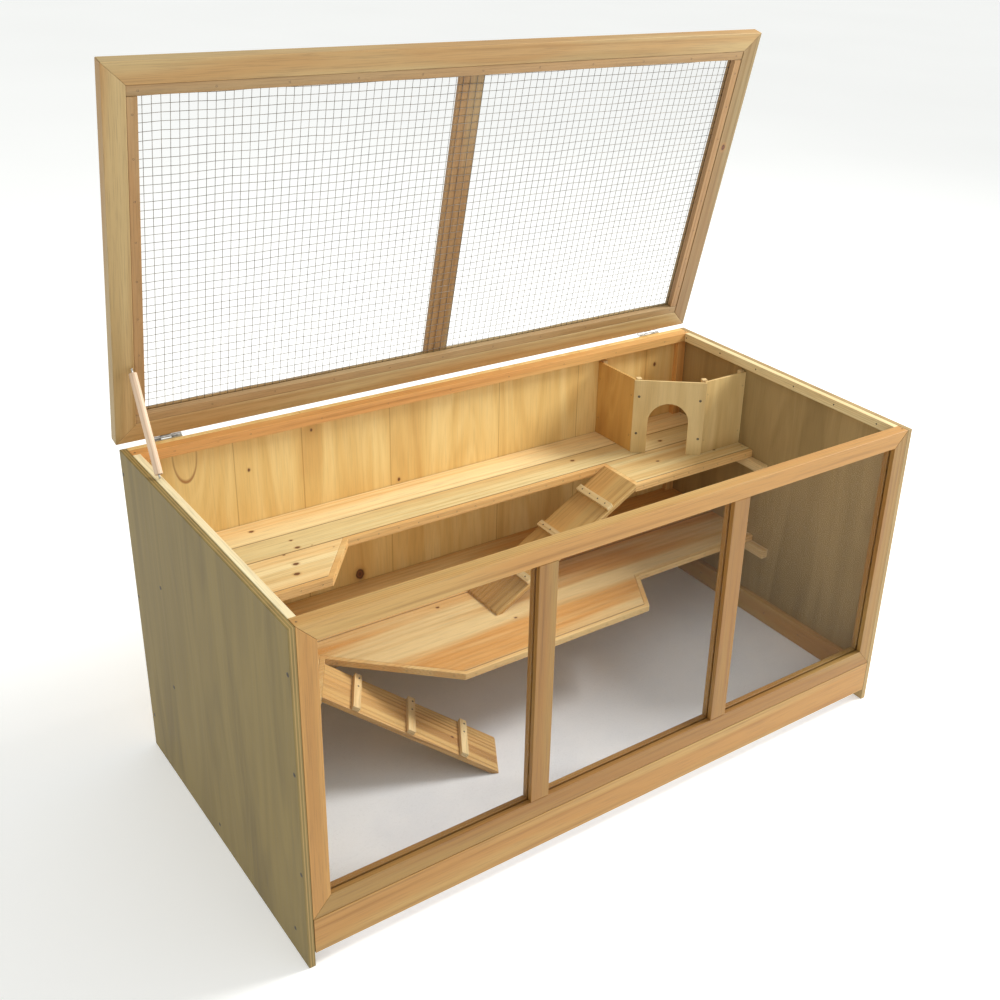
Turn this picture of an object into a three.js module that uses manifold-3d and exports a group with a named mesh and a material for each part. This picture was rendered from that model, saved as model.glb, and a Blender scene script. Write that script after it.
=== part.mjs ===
// A wooden hamster cage with a hinged mesh lid, three front panes, two shelves, two ramps
// and an open-topped corner house. Millimetres, +Z up, +X to the right, the front faces -Y.
// The lid is drawn open, held up by its prop. The origin is under the middle of the whole
// object, on the surface that the cage stands on.
import * as THREE from 'three';
import { mergeVertices } from 'three/addons/utils/BufferGeometryUtils.js';
import Module from 'manifold-3d';

// Driving dimensions.
const GAP = 0.3; // left between pieces that touch
const WIDTH = 1150; // across the outer faces of the side panels
const DEPTH = 595; // from the front edges to the back panel's outer face
const HEIGHT = 560; // side panels
const PANEL = 10; // side, back, floor and shelf board thickness

const FRAME_DEPTH = 22; // front frame, front to back
const FRAME_STILE = 28;
const FRAME_TOP = 28.5;
const FRAME_BOTTOM = 32;
const MULLION = 32.5;
const MULLION_CENTRES = [-187.3, 180.3];
const PLINTH_BOTTOM = 23;
const PLINTH_TOP = 84;
const PLINTH_DEPTH = 12;
const PANE = 3; // thickness
const PANE_SET_BACK = 9; // from the frame's front face
const GROOVE = 6; // how far a pane runs into the frame

const FLOOR_TOP = 35;
const TOP_RAIL_HEIGHT = 17;
const SIDE_RAIL_DEPTH = 12;
const BACK_RAIL_DEPTH = 20;
const POST_WIDTH = 20;
const POST_DEPTH = 12;
const KICK_HEIGHT = 45;
const KICK_DEPTH = 12;
const CLEAT_DEPTH = 15;
const CLEAT_HEIGHT = 18;
const CLEAT_OVERRUN = 44; // a cleat runs this far in front of its shelf

const UPPER_SHELF = 382; // top surface
const LOWER_SHELF = 204;
const EDGING = 8.5; // width of the strip nailed along a shelf's front
const UPPER_EDGING_HEIGHT = 15;
const LOWER_EDGING_HEIGHT = 12;
const UPPER_SEAM = 220; // Y of the joint between the two full-length upper boards
const LOWER_SEAM = 150;

const RAMP_THICKNESS = 8.5;
const CLEAT_WIDTH = 13;
const CLEAT_RISE = 8;
const UPPER_RAMP = { width: 95, slope: 30, run: 300.5, cleats: [66, 167, 266] };
const LOWER_RAMP = { width: 91, slope: 30.5, run: 271, cleats: [58, 158, 258] };
const LOWER_RAMP_HEADING = 148; // compass angle of its uphill direction, from +X

const HOUSE_HEIGHT = 150;
const HOUSE_WALL = 4;
const HOUSE_LEFT = 350; // X of the left wall's outer face
const HOUSE_FRONT = 97; // Y of the right wall's outer face
const HOUSE_CORNERS = [[350, 176], [460, 94]]; // outer ends of the slanting front
const DOOR_WIDTH = 78;
const DOOR_SPRING = 65; // height where the arch starts

const LID_OPEN_ANGLE = 76.6;
const LID_WIDTH = 1155;
const LID_DEPTH = 602; // from the hinge line to the free edge
const LID_THICKNESS = 19.5;
const LID_BACK = 3; // the lid starts this far from the hinge line
const LID_MEMBER = 32; // width of a rail or stile on the inner face
const LID_REBATE = 15; // the batten's width, and the lip's extra width behind it
const BATTEN_THICKNESS = 10.5;
const BATTEN_SINK = 0.8; // below the lid's inner face
const CENTRE_BAR = 46;
const CENTRE_BAR_X = -9;
const HINGE_BEHIND = 6; // the hinge line's distance behind the back panel
const HINGE_ABOVE = 2.65; // and above the side panels' top

const MESH_PITCH = 76.2; // one bar stands for six wires of a half-inch mesh
const MESH_BAR_WIDTH = 5.3; // its width and thickness hold the steel of those six wires
const MESH_BAR_THICKNESS = 1.77;

const HINGE_LENGTH = 50;
const HINGE_CENTRES = [-500, 484];
const HINGE_LEAF = 26; // how far the carcass's leaf hangs below the pin
const HINGE_LID_LEAF = 18; // how far the lid's leaf rises above it
const LEAF_THICKNESS = 0.9;
const KNUCKLE_RADIUS = 2.3;
const PIN_RADIUS = 1.1;

const PROP_RADIUS = 6;
const PROP_PIN_RADIUS = 1.5;
const PROP_PIN_BARE = 9; // length of the upper pin outside the dowel
const PROP_PEG_BARE = 7;
const PROP_SOCKET = 18; // depth of the hole that holds each pin
const PROP_TOP_X = -551;
const PROP_TOP_ALONG_LID = 141;
const PROP_TOP_OFF_LID = 2;
const PROP_FOOT = [-559.5, 165, 561.6];

// Derived sizes.
const INSIDE_X = WIDTH / 2 - PANEL;
const FRONT = -DEPTH / 2;
const BACK = DEPTH / 2;
const BACK_INSIDE = BACK - PANEL;
const FRAME_BACK = FRONT + FRAME_DEPTH;
const FRAME_FOOT = PLINTH_TOP + 1;
const WINDOW_BOTTOM = FRAME_FOOT + FRAME_BOTTOM;
const WINDOW_TOP = HEIGHT - FRAME_TOP;
const WINDOW_X = INSIDE_X - FRAME_STILE;
const RADIANS = Math.PI / 180;

// Materials, one per kind of surface.
const wood = (color) => new THREE.MeshStandardMaterial({ color, roughness: 0.65, metalness: 0 });
const PLY_OUTSIDE = () => wood('#9c8a66');
const PLY_INSIDE = () => wood('#dfb96f');
const PINE = () => wood('#d9a75c');
const PALE_PINE = () => wood('#e3c68d');
const WHITE_BOARD = () => wood('#e2e2e4');
const DOWEL = () => wood('#e6c9b2');
const CLEAR = () => new THREE.MeshStandardMaterial({
  color: '#eef4f4', roughness: 0.05, metalness: 0, transparent: true, opacity: 0.25,
});
const STEEL = () => new THREE.MeshStandardMaterial({ color: '#b9bcbf', roughness: 0.35, metalness: 1 });

const wasm = await Module();
wasm.setup();

// A closed geometry as a manifold solid.
function toSolid(geometry) {
  geometry.deleteAttribute('normal');
  geometry.deleteAttribute('uv');
  const merged = mergeVertices(geometry, 1e-4);
  const vertProperties = new Float32Array(merged.attributes.position.array);
  const triVerts = new Uint32Array(merged.index.array);
  return new wasm.Manifold(new wasm.Mesh({ numProp: 3, vertProperties, triVerts }));
}

// A manifold solid as a geometry.
function toGeometry(solid) {
  const mesh = solid.getMesh();
  const geometry = new THREE.BufferGeometry();
  geometry.setAttribute('position', new THREE.BufferAttribute(mesh.vertProperties, 3));
  geometry.setIndex(new THREE.BufferAttribute(mesh.triVerts, 1));
  geometry.computeVertexNormals();
  return geometry;
}

const cut = (geometry, ...cutters) =>
  toGeometry(cutters.reduce((left, cutter) => left.subtract(toSolid(cutter)), toSolid(geometry)));
const join = (geometry, ...others) =>
  toGeometry(others.reduce((whole, other) => whole.add(toSolid(other)), toSolid(geometry)));

function addPiece(group, name, geometry, material) {
  const mesh = new THREE.Mesh(geometry, material);
  mesh.name = name;
  group.add(mesh);
  return mesh;
}

// A box given by its lowest and highest X, Y and Z.
function box([x0, x1], [y0, y1], [z0, z1]) {
  const geometry = new THREE.BoxGeometry(x1 - x0, y1 - y0, z1 - z0);
  return geometry.translate((x0 + x1) / 2, (y0 + y1) / 2, (z0 + z1) / 2);
}

const toShape = (outline) => new THREE.Shape(outline.map(([u, v]) => new THREE.Vector2(u, v)));
const extrude = (shape, depth) =>
  new THREE.ExtrudeGeometry(shape, { depth, bevelEnabled: false, curveSegments: 12 });

// An outline seen from above, given thickness upwards from z0 to z1.
const flatBoard = (outline, [z0, z1]) => extrude(toShape(outline), z1 - z0).translate(0, 0, z0);

// An outline of X and Z, given thickness from y0 to y1.
const uprightBoard = (shape, [y0, y1]) =>
  extrude(shape, y1 - y0).rotateX(Math.PI / 2).translate(0, y1, 0);

// A line of points moved sideways to its left by a distance, with mitred corners.
function offsetLine(points, distance) {
  const sides = points.slice(1).map(([x, y], i) => {
    const length = Math.hypot(x - points[i][0], y - points[i][1]);
    return [-(y - points[i][1]) / length, (x - points[i][0]) / length];
  });
  return points.map(([x, y], i) => {
    const before = sides[Math.max(i - 1, 0)];
    const after = sides[Math.min(i, sides.length - 1)];
    const share = distance / (1 + before[0] * after[0] + before[1] * after[1]);
    return [x + (before[0] + after[0]) * share, y + (before[1] + after[1]) * share];
  });
}

// The carcass: two side panels, the back, the floor and the plinth.
function addCarcass(group) {
  const uprights = [FRONT, BACK];
  addPiece(group, 'side_panel_left', box([-WIDTH / 2, -INSIDE_X], uprights, [0, HEIGHT]), PLY_OUTSIDE());
  addPiece(group, 'side_panel_right', box([INSIDE_X, WIDTH / 2], uprights, [0, HEIGHT]), PLY_OUTSIDE());
  const between = [-INSIDE_X + GAP, INSIDE_X - GAP];
  addPiece(group, 'back_panel', box(between, [BACK_INSIDE, BACK], [0, HEIGHT]), PLY_INSIDE());
  const floorDepth = [FRONT + PLINTH_DEPTH + GAP, BACK_INSIDE - GAP];
  addPiece(group, 'floor_board', box(between, floorDepth, [FLOOR_TOP - PANEL, FLOOR_TOP]), WHITE_BOARD());
  const plinthX = [-INSIDE_X + 1, INSIDE_X - 1];
  const plinthDepth = [FRONT, FRONT + PLINTH_DEPTH];
  addPiece(group, 'plinth_board', box(plinthX, plinthDepth, [PLINTH_BOTTOM, PLINTH_TOP]), PINE());
}

// The room that each pane takes in the front frame: the window between two uprights, widened
// into the grooves around it.
function paneRooms() {
  const lefts = [-WINDOW_X, ...MULLION_CENTRES.map((x) => x + MULLION / 2)];
  const rights = [...MULLION_CENTRES.map((x) => x - MULLION / 2), WINDOW_X];
  return lefts.map((left, i) => ({ left, right: rights[i] }));
}

function paneBox({ left, right }, slack) {
  const reach = GROOVE + slack - GAP;
  const middle = FRONT + PANE_SET_BACK + PANE / 2;
  const half = PANE / 2 + slack;
  return box(
    [left - reach, right + reach],
    [middle - half, middle + half],
    [WINDOW_BOTTOM - reach, WINDOW_TOP + reach],
  );
}

// The front frame: mitred rails and stiles, two mullions and three grooved-in panes.
function addFrontFrame(group) {
  const rooms = paneRooms();
  const grooves = () => rooms.map((room) => paneBox(room, GAP));
  const thickness = [FRONT, FRAME_BACK];
  const outer = INSIDE_X - GAP;
  const mitre = GAP / 2; // each side of a mitre gives up half the gap
  const members = {
    front_top_rail: [
      [-outer + mitre, HEIGHT], [-WINDOW_X + mitre, WINDOW_TOP],
      [WINDOW_X - mitre, WINDOW_TOP], [outer - mitre, HEIGHT],
    ],
    front_bottom_rail: [
      [-outer + mitre, FRAME_FOOT], [outer - mitre, FRAME_FOOT],
      [WINDOW_X - mitre, WINDOW_BOTTOM], [-WINDOW_X + mitre, WINDOW_BOTTOM],
    ],
    front_stile_left: [
      [-outer, FRAME_FOOT + mitre], [-WINDOW_X, WINDOW_BOTTOM + mitre],
      [-WINDOW_X, WINDOW_TOP - mitre], [-outer, HEIGHT - mitre],
    ],
    front_stile_right: [
      [outer, HEIGHT - mitre], [WINDOW_X, WINDOW_TOP - mitre],
      [WINDOW_X, WINDOW_BOTTOM + mitre], [outer, FRAME_FOOT + mitre],
    ],
  };
  for (const [name, outline] of Object.entries(members)) {
    addPiece(group, name, cut(uprightBoard(toShape(outline), thickness), ...grooves()), PINE());
  }
  const mullionHeight = [WINDOW_BOTTOM + GAP, WINDOW_TOP - GAP];
  ['mullion_left', 'mullion_right'].forEach((name, i) => {
    const x = MULLION_CENTRES[i];
    const post = box([x - MULLION / 2, x + MULLION / 2], thickness, mullionHeight);
    addPiece(group, name, cut(post, ...grooves()), PINE());
  });
  ['pane_left', 'pane_centre', 'pane_right'].forEach((name, i) => {
    addPiece(group, name, paneBox(rooms[i], 0), CLEAR());
  });
}

// Rails along the top edges, posts in the back corners and a kick board beside the floor.
function addTrim(group) {
  const top = [HEIGHT - TOP_RAIL_HEIGHT, HEIGHT];
  const backRail = [BACK_INSIDE - BACK_RAIL_DEPTH, BACK_INSIDE - GAP];
  const wall = INSIDE_X - GAP;
  addPiece(group, 'top_rail_back', box([-wall, wall], backRail, top), PINE());
  const sideRail = [FRAME_BACK + GAP, backRail[0] - GAP];
  const postY = [BACK_INSIDE - POST_DEPTH, BACK_INSIDE - GAP];
  const postZ = [FLOOR_TOP + GAP, top[0] - GAP];
  for (const [side, name] of [[-1, 'left'], [1, 'right']]) {
    const span = (depth) => [side * wall, side * (INSIDE_X - depth)].sort((a, b) => a - b);
    addPiece(group, `top_rail_${name}`, box(span(SIDE_RAIL_DEPTH), sideRail, top), PALE_PINE());
    addPiece(group, `corner_post_${name}`, box(span(POST_WIDTH), postY, postZ), PINE());
  }
  const kickY = [FRAME_BACK + GAP, postY[0] - GAP];
  const kickX = [INSIDE_X - KICK_DEPTH, wall];
  const kick = box(kickX, kickY, [FLOOR_TOP + GAP, FLOOR_TOP + KICK_HEIGHT]);
  addPiece(group, 'kick_board_right', kick, PINE());
}

// The room that the two corner posts take out of a shelf board.
function postRooms() {
  const y = [BACK_INSIDE - POST_DEPTH - GAP, BACK];
  const inner = INSIDE_X - POST_WIDTH - GAP;
  return [box([-WIDTH / 2, -inner], y, [0, HEIGHT]), box([inner, WIDTH / 2], y, [0, HEIGHT])];
}

// Two cleats on the side walls carry a shelf. The front of each is in `fronts`.
function addCleats(group, shelf, underside, fronts) {
  const z = [underside - GAP - CLEAT_HEIGHT, underside - GAP];
  const back = BACK_INSIDE - POST_DEPTH - GAP;
  const wall = INSIDE_X - GAP;
  const inner = INSIDE_X - CLEAT_DEPTH;
  addPiece(group, `${shelf}_cleat_left`, box([-wall, -inner], [fronts[0], back], z), PALE_PINE());
  addPiece(group, `${shelf}_cleat_right`, box([inner, wall], [fronts[1], back], z), PALE_PINE());
}

// The front line of the upper shelf, from the left wall to the right wall.
const UPPER_FRONT = [
  [-INSIDE_X + GAP, 53], [-345, 53], [-269, 151.5], [268, 151.5], [268, 56], [INSIDE_X - GAP, 56],
];
// The front line of the lower shelf. Its notch takes the head of the lower ramp.
const LOWER_FRONT = [
  [-INSIDE_X + GAP, 5], [-397, 5], [-345, 98], [-174, -65], [216, -65], [268, 28], [INSIDE_X - GAP, 28],
];

const edging = (front, z) =>
  flatBoard([...front, ...offsetLine(front, EDGING).reverse()], z);

// The upper shelf: two full-length boards, a wider board at each end and the front edging.
function addUpperShelf(group) {
  const z = [UPPER_SHELF - PANEL, UPPER_SHELF];
  const wall = INSIDE_X - GAP;
  const boards = offsetLine(UPPER_FRONT, EDGING + GAP);
  const seam = boards[2][1]; // the narrow part's front, where the end boards start
  const back = BACK_INSIDE - GAP;
  const rear = box([-wall, wall], [UPPER_SEAM, back], z);
  addPiece(group, 'upper_shelf_back', cut(rear, ...postRooms()), PINE());
  const middle = box([-wall, wall], [seam, UPPER_SEAM - GAP], z);
  addPiece(group, 'upper_shelf_middle', middle, PINE());
  const end = seam - GAP;
  const slant = (boards[2][0] - boards[1][0]) / (boards[2][1] - boards[1][1]);
  const left = [boards[0], boards[1], [boards[2][0] - slant * GAP, end], [-wall, end]];
  addPiece(group, 'upper_shelf_left', flatBoard(left, z), PINE());
  const right = [boards[4], boards[5], [wall, end], [boards[4][0], end]];
  addPiece(group, 'upper_shelf_right', flatBoard(right, z), PINE());
  const edgingZ = [UPPER_SHELF - UPPER_EDGING_HEIGHT, UPPER_SHELF];
  addPiece(group, 'upper_shelf_edging', edging(UPPER_FRONT, edgingZ), PALE_PINE());
  const fronts = [UPPER_FRONT[0][1], UPPER_FRONT[5][1]].map((y) => y - CLEAT_OVERRUN);
  addCleats(group, 'upper_shelf', edgingZ[0], fronts);
}

// The lower shelf: a back board, a shaped front board and the front edging.
function addLowerShelf(group) {
  const z = [LOWER_SHELF - PANEL, LOWER_SHELF];
  const wall = INSIDE_X - GAP;
  const rear = box([-wall, wall], [LOWER_SEAM, BACK_INSIDE - GAP], z);
  addPiece(group, 'lower_shelf_back', cut(rear, ...postRooms()), PINE());
  const seam = LOWER_SEAM - GAP;
  const front = [...offsetLine(LOWER_FRONT, EDGING + GAP), [wall, seam], [-wall, seam]];
  addPiece(group, 'lower_shelf_front', flatBoard(front, z), PINE());
  const edgingZ = [LOWER_SHELF - LOWER_EDGING_HEIGHT, LOWER_SHELF];
  addPiece(group, 'lower_shelf_edging', edging(LOWER_FRONT, edgingZ), PALE_PINE());
  const fronts = [LOWER_FRONT[0][1], LOWER_FRONT[6][1]].map((y) => y - CLEAT_OVERRUN);
  addCleats(group, 'lower_shelf', edgingZ[0], fronts);
}

// A ramp in its own group: it climbs along +X from a foot at the origin, and its head ends
// upright at `run`, `rise` above the foot. Its cleats are measured down from the head.
function makeRamp(name, { width, slope, run, cleats }, rise) {
  const group = new THREE.Group();
  const tangent = Math.tan(slope * RADIANS);
  const drop = RAMP_THICKNESS / Math.cos(slope * RADIANS);
  const nose = 4; // height of the blunt front of the foot
  const side = toShape([
    [run - (rise - nose) / tangent - 2, 0], [run - (rise - drop) / tangent, 0],
    [run, rise - drop], [run, rise], [run - (rise - nose) / tangent, nose],
  ]);
  const board = uprightBoard(side, [-width / 2, width / 2]);
  addPiece(group, `${name}_board`, board, PINE());
  cleats.forEach((distance, i) => {
    const cleat = box([-CLEAT_WIDTH / 2, CLEAT_WIDTH / 2], [-width / 2, width / 2], [GAP, CLEAT_RISE]);
    const piece = addPiece(group, `${name}_cleat_${i + 1}`, cleat, PALE_PINE());
    const along = distance * Math.cos(slope * RADIANS);
    piece.position.set(run - along, 0, rise - along * tangent);
    piece.rotation.y = -slope * RADIANS;
  });
  return group;
}

// Each ramp stands on the surface below and leans on the edging of the shelf above.
function addRamps(group) {
  const upper = makeRamp('upper_ramp', UPPER_RAMP, UPPER_SHELF - LOWER_SHELF - GAP);
  const headX = UPPER_FRONT[3][0] - GAP;
  const headY = (UPPER_FRONT[3][1] + UPPER_FRONT[4][1]) / 2 - 1.5;
  upper.position.set(headX - UPPER_RAMP.run, headY, LOWER_SHELF + GAP);
  group.add(upper);

  const lower = makeRamp('lower_ramp', LOWER_RAMP, LOWER_SHELF - FLOOR_TOP - GAP);
  const [[x0, y0], [x1, y1]] = [LOWER_FRONT[1], LOWER_FRONT[2]];
  const notch = Math.hypot(x1 - x0, y1 - y0);
  const edge = [(x1 - x0) / notch, (y1 - y0) / notch];
  const uphill = [-edge[1], edge[0]];
  const along = LOWER_RAMP.width / 2 + 1;
  const reach = LOWER_RAMP.run + GAP;
  lower.position.set(
    x0 + edge[0] * along - uphill[0] * reach,
    y0 + edge[1] * along - uphill[1] * reach,
    FLOOR_TOP + GAP,
  );
  lower.rotation.z = Math.atan2(uphill[1], uphill[0]);
  group.add(lower);
}

// The corner house: two straight walls and a slanting front with an arched door, no roof.
function addHouse(group) {
  const z = [UPPER_SHELF + GAP, UPPER_SHELF + HOUSE_HEIGHT];
  const [[x0, y0], [x1, y1]] = HOUSE_CORNERS;
  const leftWall = box([HOUSE_LEFT, HOUSE_LEFT + HOUSE_WALL], [y0 + GAP, BACK_INSIDE - GAP], z);
  addPiece(group, 'house_wall_left', leftWall, PALE_PINE());
  const rightY = [HOUSE_FRONT, HOUSE_FRONT + HOUSE_WALL];
  addPiece(group, 'house_wall_right', box([x1 + GAP, INSIDE_X - GAP], rightY, z), PALE_PINE());

  const length = Math.hypot(x1 - x0, y1 - y0);
  const door = DOOR_WIDTH / 2;
  const middle = length / 2;
  const front = new THREE.Shape();
  front.moveTo(0, 0);
  front.lineTo(middle - door, 0);
  front.lineTo(middle - door, DOOR_SPRING);
  front.absarc(middle, DOOR_SPRING, door, Math.PI, 0, true);
  front.lineTo(middle + door, 0);
  front.lineTo(length, 0);
  front.lineTo(length, HOUSE_HEIGHT - GAP);
  front.lineTo(0, HOUSE_HEIGHT - GAP);
  const wall = addPiece(group, 'house_wall_front', uprightBoard(front, [-HOUSE_WALL, 0]), PALE_PINE());
  wall.position.set(x0, y0, z[0]);
  wall.rotation.z = Math.atan2(y1 - y0, x1 - x0);
}

// The lid's group stands on the hinge line: the lid runs along -Y and its outer face is up.
function makeLidGroup() {
  const lid = new THREE.Group();
  lid.position.set(0, BACK + HINGE_BEHIND, HEIGHT + HINGE_ABOVE);
  lid.rotation.x = -LID_OPEN_ANGLE * RADIANS;
  return lid;
}

// A flat lid member with mitred ends: `half` is half its outer length, and `reach` is how
// far it runs in from the frame's outer edge.
function lidMember(half, z, reach) {
  const mitre = GAP / 2;
  return flatBoard([
    [-half + mitre, 0], [half - mitre, 0], [half - reach - mitre, reach], [-half + reach + mitre, reach],
  ], z);
}

// The whole member: its full width on the inner face, and wider behind the rebate.
function lidFrameMember(half) {
  const inner = lidMember(half, [0, LID_THICKNESS], LID_MEMBER);
  const lip = [BATTEN_SINK + BATTEN_THICKNESS + 2 * GAP + MESH_BAR_THICKNESS, LID_THICKNESS];
  return join(inner, lidMember(half, lip, LID_MEMBER + LID_REBATE));
}

// The lid: a rebated frame, a centre bar, welded mesh and four battens that hold it.
function addLid(lid) {
  const halfX = LID_WIDTH / 2;
  const halfY = (LID_DEPTH - LID_BACK) / 2;
  const middleY = -(LID_DEPTH + LID_BACK) / 2;
  const members = [
    ['lid_rail_front', halfX, 0, -halfY, 0],
    ['lid_stile_right', halfY, halfX, 0, Math.PI / 2],
    ['lid_rail_back', halfX, 0, halfY, Math.PI],
    ['lid_stile_left', halfY, -halfX, 0, -Math.PI / 2],
  ];
  for (const [name, half, x, y, turn] of members) {
    const piece = addPiece(lid, name, lidFrameMember(half), PINE());
    piece.position.set(x, middleY + y, 0);
    piece.rotation.z = turn;
  }

  const openX = halfX - LID_MEMBER - GAP;
  const openY = halfY - LID_MEMBER - GAP;
  const battenZ = [BATTEN_SINK, BATTEN_SINK + BATTEN_THICKNESS];
  const inY = openY - LID_REBATE;
  const longBatten = (side) => [side * openY, side * (inY + GAP)].sort((a, b) => a - b);
  for (const [name, side] of [['front', -1], ['back', 1]]) {
    const y = longBatten(side).map((v) => v + middleY);
    addPiece(lid, `lid_batten_${name}`, box([-openX, openX], y, battenZ), PALE_PINE());
  }
  for (const [name, side] of [['left', -1], ['right', 1]]) {
    const x = [side * openX, side * (openX - LID_REBATE)].sort((a, b) => a - b);
    const y = [middleY - inY + GAP, middleY + inY - GAP];
    addPiece(lid, `lid_batten_${name}`, box(x, y, battenZ), PALE_PINE());
  }

  const meshBottom = battenZ[1] + GAP;
  addPiece(lid, 'lid_mesh', weldedMesh(openX, openY, meshBottom, middleY), STEEL());
  const barZ = [meshBottom + MESH_BAR_THICKNESS + GAP, LID_THICKNESS];
  const barX = [CENTRE_BAR_X - CENTRE_BAR / 2, CENTRE_BAR_X + CENTRE_BAR / 2];
  const barY = [middleY - inY + GAP, middleY + inY - GAP];
  addPiece(lid, 'lid_centre_bar', box(barX, barY, barZ), PALE_PINE());
}

// Welded mesh as one plate: a grid of cells, solid where a bar runs and open elsewhere.
function weldedMesh(halfX, halfY, bottom, middleY) {
  const edges = (half) => {
    const cells = Math.floor((2 * half - MESH_BAR_WIDTH) / MESH_PITCH);
    const places = Array.from({ length: cells + 1 }, (_, i) => (i - cells / 2) * MESH_PITCH);
    const sides = places.flatMap((place) => [place - MESH_BAR_WIDTH / 2, place + MESH_BAR_WIDTH / 2]);
    return [-half, ...sides, half];
  };
  const xs = edges(halfX);
  const ys = edges(halfY).map((y) => y + middleY);
  const inside = (column, row) => column >= 0 && row >= 0 && column < xs.length - 1 && row < ys.length - 1;
  const isSolid = (column, row) => inside(column, row) && (column % 2 === 1 || row % 2 === 1);
  const top = bottom + MESH_BAR_THICKNESS;
  const positions = [];
  const addQuad = (a, b, c, d) => positions.push(...a, ...b, ...c, ...a, ...c, ...d);
  for (let column = 0; column < xs.length - 1; column += 1) {
    for (let row = 0; row < ys.length - 1; row += 1) {
      if (!isSolid(column, row)) {
        continue;
      }
      const corners = [
        [xs[column], ys[row]], [xs[column + 1], ys[row]],
        [xs[column + 1], ys[row + 1]], [xs[column], ys[row + 1]],
      ];
      const high = corners.map((corner) => [...corner, top]);
      const low = corners.map((corner) => [...corner, bottom]);
      addQuad(...high);
      addQuad(low[3], low[2], low[1], low[0]);
      [[column, row - 1], [column + 1, row], [column, row + 1], [column - 1, row]].forEach((cell, i) => {
        if (!isSolid(...cell)) {
          const next = (i + 1) % 4;
          addQuad(low[i], low[next], high[next], high[i]);
        }
      });
    }
  }
  const geometry = new THREE.BufferGeometry();
  geometry.setAttribute('position', new THREE.Float32BufferAttribute(positions, 3));
  geometry.computeVertexNormals();
  return geometry;
}

const rodAlongX = (radius, [x0, x1], sides) =>
  new THREE.CylinderGeometry(radius, radius, x1 - x0, sides)
    .rotateZ(Math.PI / 2)
    .translate((x0 + x1) / 2, 0, 0);

// A surface hinge on the origin's X axis, drawn with the lid closed. The carcass's leaf lies
// on the back panel's outer face and has the outer knuckles and the pin. The lid's leaf lies
// on the lid's heel and has the bored middle knuckle.
function carcassLeaf() {
  const half = HINGE_LENGTH / 2;
  const third = HINGE_LENGTH / 6;
  const leafY = [-HINGE_BEHIND + GAP, -HINGE_BEHIND + GAP + LEAF_THICKNESS];
  const crankZ = [-KNUCKLE_RADIUS, -KNUCKLE_RADIUS + LEAF_THICKNESS];
  const plate = box([-half, half], leafY, [-HINGE_LEAF, crankZ[1]]);
  const pin = rodAlongX(PIN_RADIUS, [-half, half], 16);
  const knuckles = [[-half, -third - GAP], [third + GAP, half]].flatMap((x) => [
    rodAlongX(KNUCKLE_RADIUS, x, 24),
    box(x, [leafY[0], 0], crankZ),
  ]);
  return join(plate, pin, ...knuckles);
}

function lidLeaf() {
  const half = HINGE_LENGTH / 2;
  const third = HINGE_LENGTH / 6;
  const leafY = [-LID_BACK + GAP, -LID_BACK + GAP + LEAF_THICKNESS];
  const low = KNUCKLE_RADIUS + GAP;
  const plate = box([-half, half], leafY, [low, HINGE_LID_LEAF]);
  const x = [-third, third];
  const knuckle = rodAlongX(KNUCKLE_RADIUS, x, 24);
  const neck = box(x, leafY, [0, low + 1]);
  return cut(join(plate, knuckle, neck), rodAlongX(PIN_RADIUS + GAP, [-half, half], 16));
}

function addHinges(group, lid) {
  ['left', 'right'].forEach((name, i) => {
    const fixed = addPiece(group, `hinge_${name}_carcass_leaf`, carcassLeaf(), STEEL());
    fixed.position.set(HINGE_CENTRES[i], BACK + HINGE_BEHIND, HEIGHT + HINGE_ABOVE);
    const moving = addPiece(lid, `hinge_${name}_lid_leaf`, lidLeaf(), STEEL());
    moving.position.x = HINGE_CENTRES[i];
  });
}

// The prop that holds the lid up: a dowel with a steel pin in each end, drawn along +Y from
// its foot and turned to reach from the left top rail to the lid's left stile.
function addProp(group) {
  const angle = LID_OPEN_ANGLE * RADIANS;
  const foot = new THREE.Vector3(...PROP_FOOT);
  const top = new THREE.Vector3(
    PROP_TOP_X,
    BACK + HINGE_BEHIND - PROP_TOP_ALONG_LID * Math.cos(angle) - PROP_TOP_OFF_LID * Math.sin(angle),
    HEIGHT + HINGE_ABOVE + PROP_TOP_ALONG_LID * Math.sin(angle) - PROP_TOP_OFF_LID * Math.cos(angle),
  );
  const length = top.distanceTo(foot);
  const prop = new THREE.Group();
  prop.position.copy(foot);
  const up = new THREE.Vector3(0, 1, 0);
  prop.quaternion.setFromUnitVectors(up, top.clone().sub(foot).normalize());
  group.add(prop);

  const low = PROP_PEG_BARE;
  const high = length - PROP_PIN_BARE;
  const bore = PROP_PIN_RADIUS + GAP;
  const dowel = [
    [0, low + PROP_SOCKET], [bore, low + PROP_SOCKET], [bore, low], [PROP_RADIUS, low],
    [PROP_RADIUS, high], [bore, high], [bore, high - PROP_SOCKET], [0, high - PROP_SOCKET],
  ];
  const lathe = (outline, sides) =>
    new THREE.LatheGeometry(outline.map(([r, y]) => new THREE.Vector2(r, y)), sides);
  const pin = (y0, y1) => [[0, y0], [PROP_PIN_RADIUS, y0], [PROP_PIN_RADIUS, y1], [0, y1]];
  addPiece(prop, 'prop_dowel', lathe(dowel, 20), DOWEL());
  addPiece(prop, 'prop_pin_upper', lathe(pin(high - PROP_SOCKET + GAP, length), 12), STEEL());
  addPiece(prop, 'prop_pin_lower', lathe(pin(0, low + PROP_SOCKET - GAP), 12), STEEL());
}

const cage = new THREE.Group();
const body = new THREE.Group();
const lid = makeLidGroup();
addCarcass(body);
addFrontFrame(body);
addTrim(body);
addUpperShelf(body);
addLowerShelf(body);
addRamps(body);
addHouse(body);
addLid(lid);
addHinges(body, lid);
addProp(body);
body.add(lid);

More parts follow.
